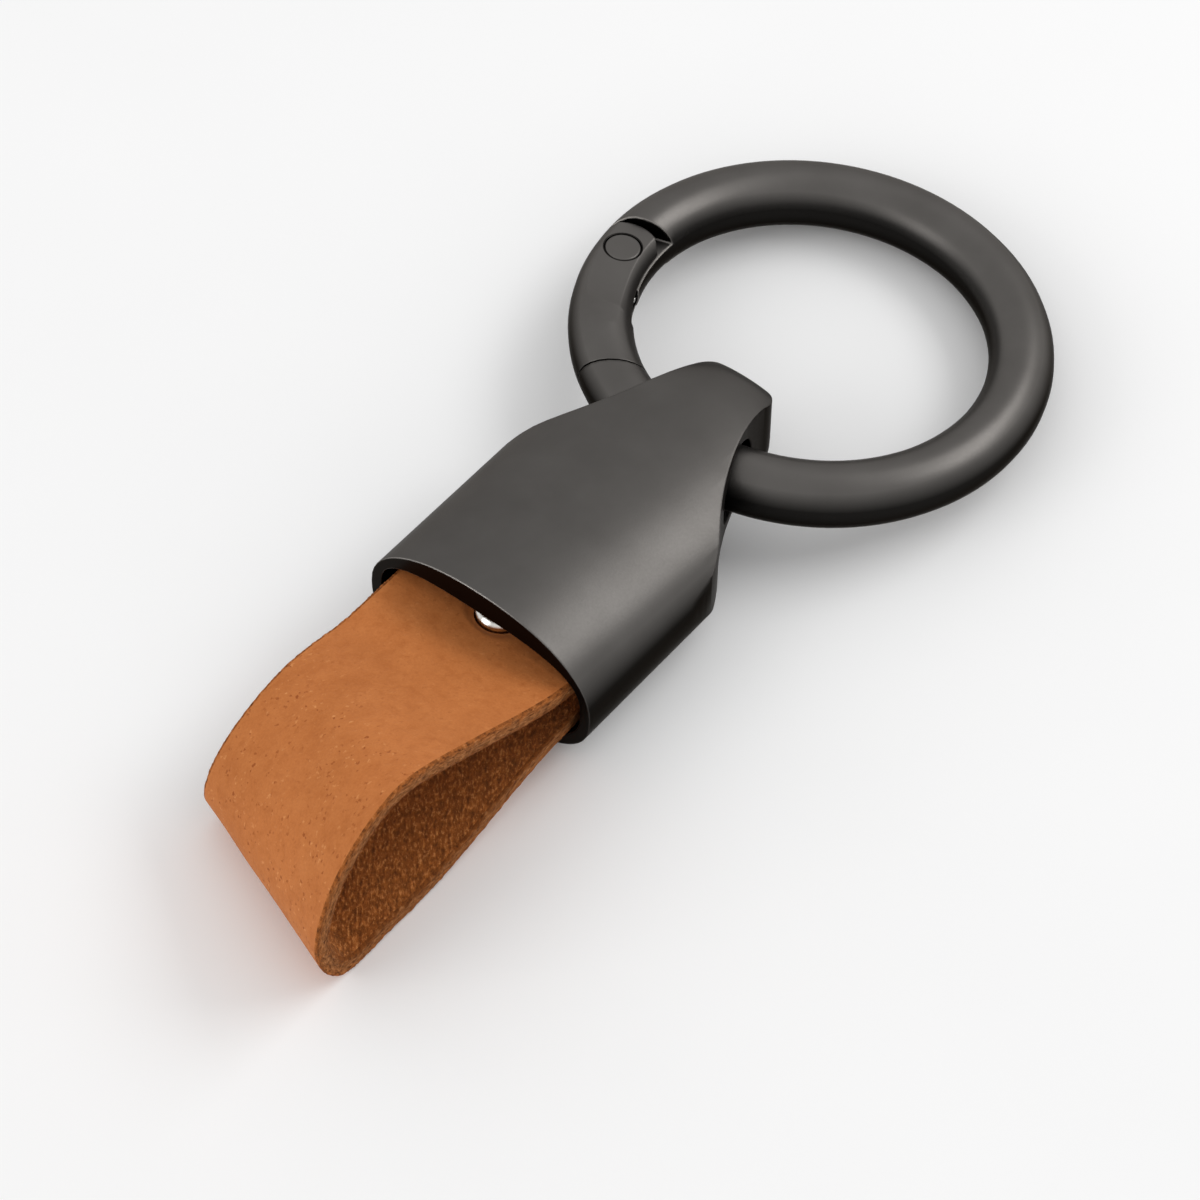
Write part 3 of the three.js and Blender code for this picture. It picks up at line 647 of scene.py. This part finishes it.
def leather_edge():
    """Raw cut edge: tan under the grain side, pale fibres in the middle, dark towards the flesh side."""
    look = Look("leather_edge")
    layer = look.attribute("layer")
    strip = look.drawn_out_strip(CUT_FIBRE_STRETCH)
    fibres = look.noise(CUT_FIBRE_SIZE, detail=6.0, roughness=0.72, place=strip)
    uneven = look.math("SUBTRACT", look.noise(CUT_WANDER_SIZE, detail=4.0), 0.5)
    band = look.math("ADD", layer, look.math("MULTIPLY", uneven, CUT_WANDER_SHARE))
    tone = look.ramp(band, (0.05, 0.4, 0.72, 0.95), CUT_COLOURS)
    tone = look.mix(look.spread(fibres, 1.0, 0.0, 0.36, 0.6), tone, CUT_FIBRE_DARK)
    tone = look.mix(look.spread(fibres, 0.0, 0.6, 0.58, 0.72), tone, CUT_FIBRE_PALE)
    look.drive("Base Color", tone)
    look.drive("Normal", look.bump(fibres, CUT_FIBRE_DEPTH))
    look.fix("Roughness", 0.9)
    look.fix("Specular IOR Level", 0.1)
    return look.material


def floor_look():
    """Plain pale floor with the faintest unevenness."""
    look = Look("floor_paper")
    cloud = look.noise(FLOOR_CLOUD_SIZE)
    look.drive("Base Color", look.ramp(cloud, (0.3, 0.7), FLOOR_COLOURS))
    look.fix("Roughness", 1.0)
    look.fix("Specular IOR Level", 0.0)
    return look.material


# Strap

def strap_section():
    """The strip's outline all round: (side from -1 to 1, height in mm, face)."""
    half = STRAP_THICKNESS / 2
    inset = 2 * EDGE_ROUND / STRAP_WIDTH
    flat = 1 - inset
    turns = np.linspace(math.pi / 2, 0, ROUND_STEPS + 1)[1:]
    corner = [(flat + inset * math.cos(a), half - EDGE_ROUND + EDGE_ROUND * math.sin(a)) for a in turns]
    middle = [(1.0, h) for h in np.linspace(half - EDGE_ROUND, EDGE_ROUND - half, EDGE_STEPS + 1)[1:-1]]
    edge = corner + middle + [(side, -height) for side, height in reversed(corner)]
    section = [(side, half, "grain") for side in np.linspace(-flat, flat, GRAIN_STEPS + 1)]
    section += [(side, height, "edge") for side, height in edge]
    section += [(side, -half, "suede") for side in np.linspace(flat, -flat, SUEDE_STEPS + 1)]
    section += [(-side, height, "edge") for side, height in reversed(edge)]
    return section


def strap_line():
    """The folded strip's side view, evenly spaced, as (x, z) in mm."""
    loop = [LOOP_RISE, LOOP_TOP, LOOP_SHOULDER, LOOP_NOSE, LOOP_TOE, LOOP_BELLY, LOOP_REST]
    upper = [(STRAP_END_X, STRAP_UPPER_END_HEIGHT), (MOUTH_X, STRAP_UPPER_MOUTH_HEIGHT)]
    outer = [(MOUTH_X - out * LOOP_LENGTH, up * LOOP_CREST) for out, up in loop]
    lower = [(MOUTH_X, STRAP_LOWER_HEIGHT), (STRAP_END_X, STRAP_LOWER_HEIGHT)]
    return smooth_curve(upper + outer + lower, STRAP_LENGTH_STEPS)


def strap_point(centre, along, share, side, height):
    """Where a point of the flat strip lies once the strip is folded, in mm."""
    lowest = STRAP_THICKNESS / 2
    outside = smooth_rise(MOUTH_X - centre[0], *LOOP_TWIST_FROM_MOUTH)
    lower = smooth_rise(share, *LOWER_RUN_SHARES)
    held = 1 - smooth_rise(MOUTH_X - centre[0], 0, STRAP_CUP_FADE)
    rise = (centre[1] - lowest) / (LOOP_CREST - lowest)
    shear = LOOP_SHEAR * outside * side
    lift = LOOP_LIFT * outside * side * rise
    cup = STRAP_CUP * lower * held * side * side
    x = centre[0] - shear + along[1] * height
    z = centre[1] + lift + cup - along[0] * height
    return Vector((x, -side * STRAP_WIDTH / 2, z))


def hole_distance(run, across):
    """How far a point of the flat strip lies from the rim of the hole in its upper end, in mm."""
    return math.hypot(run - (STRAP_END_X - POST_CENTRE.x), across - POST_CENTRE.y) - HOLE_RADIUS


def rough_strip(run, side, height, face):
    """Moves a point of the flat strip by the leather's unevenness: (side, height)."""
    across = side * STRAP_WIDTH / 2
    height += STRAP_SWELL * noise.noise(Vector((run, across, 0)) / STRAP_SWELL_SIZE)
    if face == "grain":
        height -= HOLE_PRESS * (1 - smooth_rise(hole_distance(run, across), 0, HOLE_PRESS_WIDTH))
    if face == "suede":
        height -= NAP_DEPTH * noise.noise(Vector((run, across, 0)) / NAP_SIZE)
    if face == "edge":
        ragged = EDGE_RAGGED * noise.noise(Vector((run, across, height)) / EDGE_FIBRE_SIZE)
        side += math.copysign(2 * ragged / STRAP_WIDTH, side)
    return side, height


def bend_along(line):
    """How sharply the folded strip bends at each point of its line, up to one."""
    along = tangents_of(line)
    turn = np.linalg.norm(np.gradient(along, axis=0), axis=1)
    step = np.linalg.norm(np.gradient(line, axis=0), axis=1)
    return np.minimum(BEND_RADIUS_FULL * turn / step, 1.0)


def build_strap(materials):
    """The leather strip with its grain, suede and cut edges, and a hole at each end for the post."""
    line = strap_line()
    length = np.linalg.norm(np.diff(line, axis=0), axis=1).sum()
    section = strap_section()
    points = []
    runs = []
    layers = []
    bends = []
    for i, (centre, along, bend) in enumerate(zip(line, tangents_of(line), bend_along(line))):
        share = i / STRAP_LENGTH_STEPS
        for side, height, face in section:
            moved_side, moved_height = rough_strip(share * length, side, height, face)
            points.append(strap_point(centre, along, share, moved_side, moved_height) * MM)
            runs.append(share * length * MM)
            layers.append(height / STRAP_THICKNESS + 0.5)
            bends.append(bend)
    strap = add_mesh("strap_leather", points, tube_faces(len(line), len(section)))
    for material in materials:
        strap.data.materials.append(material)
    strap.data.polygons.foreach_set("material_index", strap_face_kinds(section, len(line)))
    for name, values in (("run", runs), ("layer", layers), ("bend", bends)):
        strap.data.attributes.new(name, "FLOAT", "POINT").data.foreach_set("value", values)
    face_outwards(strap)
    cut_post_holes(strap)
    return strap, (STRAP_WIDTH * MM, length * MM)


def strap_face_kinds(section, rings):
    """Each face's material: grain, suede or cut edge."""
    order = ["grain", "suede", "edge"]
    kinds = []
    for (_, _, face), (_, _, after) in zip(section, section[1:] + section[:1]):
        kinds.append(order.index(face if face == after else "edge"))
    ends = 2 * [order.index("edge")]
    return kinds * (rings - 1) + ends


def cut_post_holes(strap):
    """Cuts the post's hole through both ends of the strap."""
    radius = HOLE_RADIUS * MM
    made = bmesh.new()
    bmesh.ops.create_cone(made, cap_ends=True, segments=HOLE_STEPS, radius1=radius, radius2=radius,
                          depth=HOLE_CUT_LENGTH * MM)
    bmesh.ops.translate(made, verts=made.verts, vec=POST_CENTRE * MM)
    mesh = bpy.data.meshes.new("hole_cutter")
    made.to_mesh(mesh)
    made.free()
    cutter = bpy.data.objects.new("hole_cutter", mesh)
    bpy.context.scene.collection.objects.link(cutter)
    for material in strap.data.materials:
        mesh.materials.append(material)
    mesh.polygons.foreach_set("material_index", [len(mesh.materials) - 1] * len(mesh.polygons))
    cut = strap.modifiers.new("holes", "BOOLEAN")
    cut.operation = "DIFFERENCE"
    cut.object = cutter
    bpy.context.view_layer.update()
    evaluated = strap.evaluated_get(bpy.context.evaluated_depsgraph_get())
    result = bpy.data.meshes.new_from_object(evaluated)
    strap.modifiers.clear()
    strap.data = result
    bpy.data.objects.remove(cutter)


# Gate spring

def hinge_frame():
    """The hinge's own frame as a matrix: X along the ring, Y outwards, Z along the pin."""
    hinge = next(joint for joint in frame["joints"] if joint["name"] == "gate_swing")
    pin = Vector(hinge["pos_m"])
    axis = Vector(hinge["axis"]).normalized()
    low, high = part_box("ring_body")
    outwards = pin - (low + high) / 2
    outwards = (outwards - axis * outwards.dot(axis)).normalized()
    turn = Matrix((outwards.cross(axis), outwards, axis)).transposed().to_4x4()
    return Matrix.Translation(pin) @ turn


def spring_path():
    """The bent wire's path from its leg beside the ring's heel to its tip in the gate's slot."""
    return smooth_curve([
        (SPRING_LEG_X, SPRING_LEG_END),
        (SPRING_LEG_X, -SPRING_BEND_RADIUS - SPRING_KNEE),
        (SPRING_LEG_X - SPRING_KNEE, -SPRING_BEND_RADIUS),
        (SPRING_BEND_X, -SPRING_BEND_RADIUS),
        (SPRING_BEND_X - SPRING_BEND_RADIUS, 0),
        (SPRING_BEND_X, SPRING_BEND_RADIUS),
        (SPRING_LEG_X, SPRING_SLOT_HEIGHT),
        SPRING_TIP,
    ], SPRING_LENGTH_STEPS)


def build_spring(place, material):
    """The bent wire between the ring's heel and the gate's slot."""
    path = spring_path()
    points = []
    for (x, y), (tx, ty) in zip(path, tangents_of(path)):
        for k in range(SPRING_ROUND_STEPS):
            turn = 2 * math.pi * k / SPRING_ROUND_STEPS
            across = SPRING_WIRE_RADIUS * math.cos(turn)
            up = SPRING_WIRE_RADIUS * math.sin(turn)
            points.append(place @ (Vector((x - ty * across, y + tx * across, up)) * MM))
    spring = add_mesh("spring_wire", points, tube_faces(len(path), SPRING_ROUND_STEPS))
    face_outwards(spring)
    spring.data.materials.append(material)
    return spring


# Loaded pieces

def dress_node(name, material):
    """Gives a CAD node its material and smooth shading across its facets."""
    node = frame["nodes"][name]
    mesh = node.data
    mesh.materials.clear()
    mesh.materials.append(material)
    mesh.normals_split_custom_set([(0, 0, 0)] * len(mesh.loops))
    mesh.polygons.foreach_set("use_smooth", [True] * len(mesh.polygons))
    weld = node.modifiers.new("weld", "WELD")
    weld.merge_threshold = WELD_DISTANCE * MM
    split = node.modifiers.new("crease", "EDGE_SPLIT")
    split.split_angle = math.radians(CREASE_DEGREES)


# Stage

def add_camera():
    """The camera at the photograph's viewpoint."""
    data = bpy.data.cameras.new("camera")
    data.lens = FOCAL_LENGTH
    data.sensor_width = SENSOR_WIDTH
    data.clip_start = CLIP_NEAR * MM
    data.clip_end = CLIP_FAR * MM
    camera = bpy.data.objects.new("camera", data)
    bpy.context.scene.collection.objects.link(camera)
    up = CAMERA_RIGHT.cross(CAMERA_FORWARD)
    turn = Matrix((CAMERA_RIGHT, up, -CAMERA_FORWARD)).transposed().to_4x4()
    camera.matrix_world = Matrix.Translation(CAMERA_PLACE) @ turn
    bpy.context.scene.camera = camera


def add_floor():
    """A large plain floor just under the object."""
    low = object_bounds()[0].z - FLOOR_GAP * MM
    half = FLOOR_HALF_WIDTH * MM
    corners = [(-half, -half, low), (half, -half, low), (half, half, low), (-half, half, low)]
    floor = add_mesh("floor", corners, [(0, 1, 2, 3)], smooth=False)
    floor.data.materials.append(floor_look())


def add_softbox(name, direction, size, power):
    """A flat area lamp that faces the origin from the given direction."""
    data = bpy.data.lights.new(name, "AREA")
    data.shape = "RECTANGLE"
    data.size = size[0] * MM
    data.size_y = size[1] * MM
    data.energy = power
    lamp = bpy.data.objects.new(name, data)
    bpy.context.scene.collection.objects.link(lamp)
    away = Vector(direction).normalized()
    lamp.location = away * LAMP_DISTANCE * MM
    lamp.rotation_mode = "QUATERNION"
    lamp.rotation_quaternion = (-away).to_track_quat("-Z", "Y")


def add_world():
    """A soft even surround."""
    world = bpy.data.worlds.new("surround")
    world.use_nodes = True
    background = world.node_tree.nodes["Background"]
    background.inputs["Color"].default_value = (1, 1, 1, 1)
    background.inputs["Strength"].default_value = SURROUND_STRENGTH
    bpy.context.scene.world = world


remove_startup_objects()
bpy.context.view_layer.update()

hinge_place = hinge_frame()
cap_metal = cap_gunmetal()
ring_metal = ring_gunmetal(hinge_place.translation)
gate_metal = gate_gunmetal(hinge_place)
post_metal = bright_metal("bright_metal", POST_COLOUR, roughness=0.08, mark_mm=0.3, edge_mm=0.3)
screw_metal = bright_metal("screw_metal", SCREW_COLOUR, roughness=0.26, mark_mm=0.12, edge_mm=0.06)
wire_metal = bright_metal("spring_wire", WIRE_COLOUR, roughness=0.24, mark_mm=0.2, edge_mm=0.05)
dress_node("cap", cap_metal)
dress_node("ring_body", ring_metal)
for node_name in ("gate", "hinge_pin"):
    dress_node(node_name, gate_metal)
dress_node("strap_post", post_metal)
dress_node("fixing_screw", screw_metal)

strap, strap_flat = build_strap([leather_grain(), leather_suede(), leather_edge()])
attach(strap, "cap_and_strap")
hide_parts("leather_strap")

spring = build_spring(hinge_place, wire_metal)
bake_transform(spring)
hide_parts("gate_spring")

add_camera()
add_floor()
add_world()
add_softbox("key", KEY_DIRECTION, KEY_SIZE, KEY_POWER)
add_softbox("fill", FILL_DIRECTION, FILL_SIZE, FILL_POWER)
bpy.context.scene.view_settings.view_transform = "Standard"
